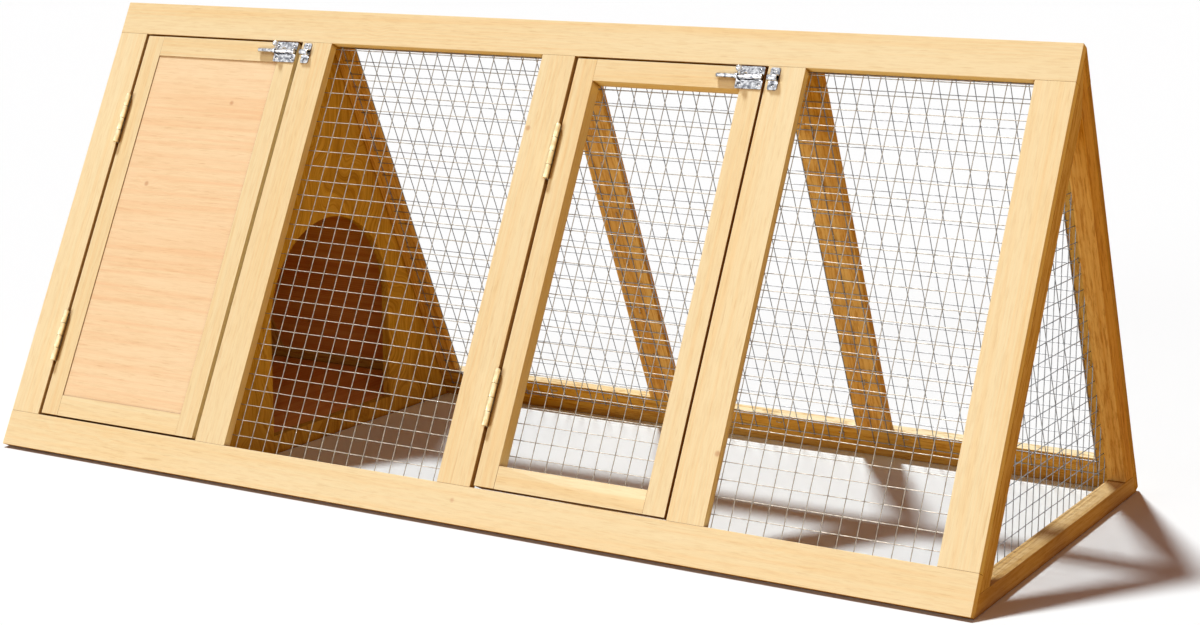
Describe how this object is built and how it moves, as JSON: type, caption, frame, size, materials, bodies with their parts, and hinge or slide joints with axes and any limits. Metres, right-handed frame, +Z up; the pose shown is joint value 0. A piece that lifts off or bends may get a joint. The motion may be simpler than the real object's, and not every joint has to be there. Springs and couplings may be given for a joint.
{
  "type": "a-frame rabbit hutch",
  "caption": "Wooden A-frame rabbit hutch with a boarded hut, an arched doorway and a wire-mesh run, and hinged doors with sliding bolts.",
  "frame": {"origin": "middle of the footprint, on the ground", "axes": "+X along the ridge towards the end of the run, +Y towards the back, +Z up; the doors are on the -Y side"},
  "size_m": [1.18, 0.493, 0.4962],
  "materials": {
    "pine": "planed, bare",
    "panel_pine": "planed, bare",
    "board_pine": "planed, bare",
    "hinge_zinc": "yellow zinc plated",
    "bolt_steel": "bright plated",
    "wire": "galvanised"
  },
  "bodies": {
    "frame": {"front_top_rail": "pine", "front_bottom_rail": "pine", "front_stile_1": "pine", "front_stile_2": "pine", "front_stile_3": "pine", "front_stile_4": "pine", "front_stile_5": "pine", "back_top_rail": "pine", "back_bottom_rail": "pine", "back_stile_1": "pine", "back_stile_2": "pine", "back_stile_3": "pine", "back_stile_4": "pine", "back_stile_5": "pine", "hut_back_wall": "panel_pine", "left_end_board": "board_pine", "left_base_rail": "pine", "partition_board": "board_pine", "hut_floor": "board_pine", "floor_bearers": "pine", "right_front_leg": "pine", "right_back_leg": "pine", "right_base_rail": "pine", "right_end_mesh": "wire", "window_1_mesh": "wire", "window_2_mesh": "wire", "back_mesh": "wire", "door_1_upper_frame_leaf": "hinge_zinc", "door_1_upper_pin": "hinge_zinc", "door_1_lower_frame_leaf": "hinge_zinc", "door_1_lower_pin": "hinge_zinc", "door_2_upper_frame_leaf": "hinge_zinc", "door_2_upper_pin": "hinge_zinc", "door_2_lower_frame_leaf": "hinge_zinc", "door_2_lower_pin": "hinge_zinc", "bolt_1_keeper": "bolt_steel", "bolt_2_keeper": "bolt_steel", "keeper_screws": "bolt_steel"},
    "door_1": {"door_1_hinge_stile": "pine", "door_1_latch_stile": "pine", "door_1_top_rail": "pine", "door_1_bottom_rail": "pine", "door_1_panel": "panel_pine", "door_1_upper_door_leaf": "hinge_zinc", "door_1_lower_door_leaf": "hinge_zinc", "bolt_1_plate": "bolt_steel", "bolt_1_screws": "bolt_steel"},
    "bolt_1": {"bolt_1_rod": "bolt_steel"},
    "knob_1": {"bolt_1_knob": "bolt_steel"},
    "door_2": {"door_2_hinge_stile": "pine", "door_2_latch_stile": "pine", "door_2_top_rail": "pine", "door_2_bottom_rail": "pine", "door_2_mesh": "wire", "door_2_upper_door_leaf": "hinge_zinc", "door_2_lower_door_leaf": "hinge_zinc", "bolt_2_plate": "bolt_steel", "bolt_2_screws": "bolt_steel"},
    "bolt_2": {"bolt_2_rod": "bolt_steel"},
    "knob_2": {"bolt_2_knob": "bolt_steel"}
  },
  "joints": [
    {"name": "door_1_swing", "type": "hinge", "parent": "frame", "child": "door_1", "pos_m": [-0.5474, -0.1313, 0.24646], "axis": [0, -0.4431, -0.8965], "range_deg": [0, 170]},
    {"name": "bolt_1_slide", "type": "slide", "parent": "door_1", "child": "bolt_1", "axis": [1, 0, 0], "range_m": [0, 0.0199]},
    {"name": "knob_1_turn", "type": "hinge", "parent": "bolt_1", "child": "knob_1", "pos_m": [-0.34675, -0.03001, 0.4505], "axis": [1, 0, 0], "range_deg": [-30, 120]},
    {"name": "door_2_swing", "type": "hinge", "parent": "frame", "child": "door_2", "pos_m": [0.0465, -0.1313, 0.24646], "axis": [0, -0.4431, -0.8965], "range_deg": [0, 170]},
    {"name": "bolt_2_slide", "type": "slide", "parent": "door_2", "child": "bolt_2", "axis": [1, 0, 0], "range_m": [0, 0.0199]},
    {"name": "knob_2_turn", "type": "hinge", "parent": "bolt_2", "child": "knob_2", "pos_m": [0.24375, -0.03001, 0.4505], "axis": [1, 0, 0], "range_deg": [-30, 120]}
  ]
}
